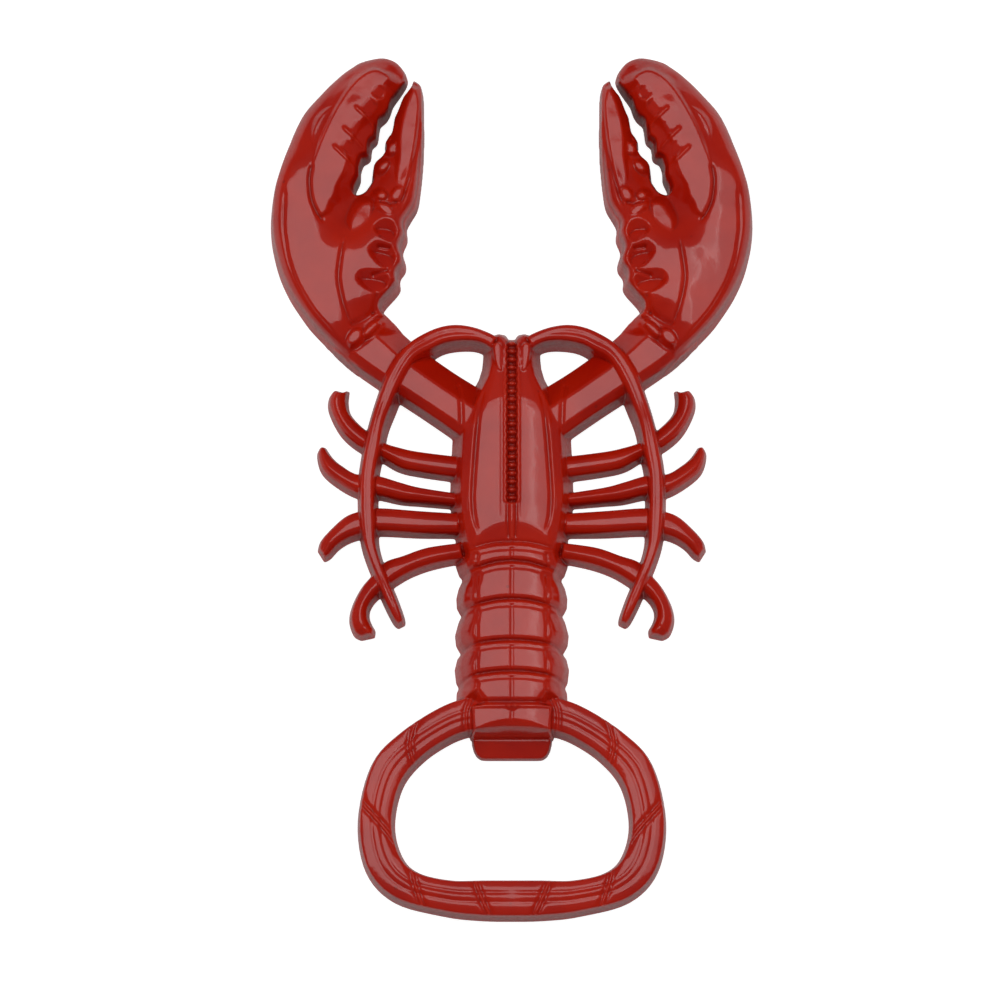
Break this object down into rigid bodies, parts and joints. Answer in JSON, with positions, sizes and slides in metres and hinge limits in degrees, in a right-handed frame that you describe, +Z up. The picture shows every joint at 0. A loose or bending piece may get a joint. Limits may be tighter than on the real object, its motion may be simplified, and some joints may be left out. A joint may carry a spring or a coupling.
{
  "type": "bottle opener",
  "caption": "Flat-backed cast bottle opener shaped as a lobster: claws, antennae and legs in relief, a tail that ends in a cap lip, and a ring handle.",
  "frame": {"origin": "middle of the bounding box, on the flat back that the opener lies on", "axes": "+Z up through the sculpted side, +Y along the lobster towards its claws, +X to the right as the sculpted side is looked at"},
  "size_m": [0.0818, 0.1479, 0.0098],
  "materials": {
    "red_enamel": "glossy"
  },
  "bodies": {
    "root": {"carapace": "red_enamel", "rostrum": "red_enamel", "dorsal_bead_row": "red_enamel", "arm_left": "red_enamel", "arm_right": "red_enamel", "wrist_left": "red_enamel", "wrist_right": "red_enamel", "claw_left": "red_enamel", "claw_right": "red_enamel", "thumb_left": "red_enamel", "thumb_right": "red_enamel", "antenna_left": "red_enamel", "antenna_right": "red_enamel", "leg_1_left": "red_enamel", "leg_2_left": "red_enamel", "leg_3_left": "red_enamel", "leg_4_left": "red_enamel", "leg_1_right": "red_enamel", "leg_2_right": "red_enamel", "leg_3_right": "red_enamel", "leg_4_right": "red_enamel", "tail_segment_1": "red_enamel", "tail_segment_2": "red_enamel", "tail_segment_3": "red_enamel", "tail_segment_4": "red_enamel", "tail_segment_5": "red_enamel", "tail_boss": "red_enamel", "cap_lip": "red_enamel", "grip_ring": "red_enamel"}
  },
  "joints": []
}
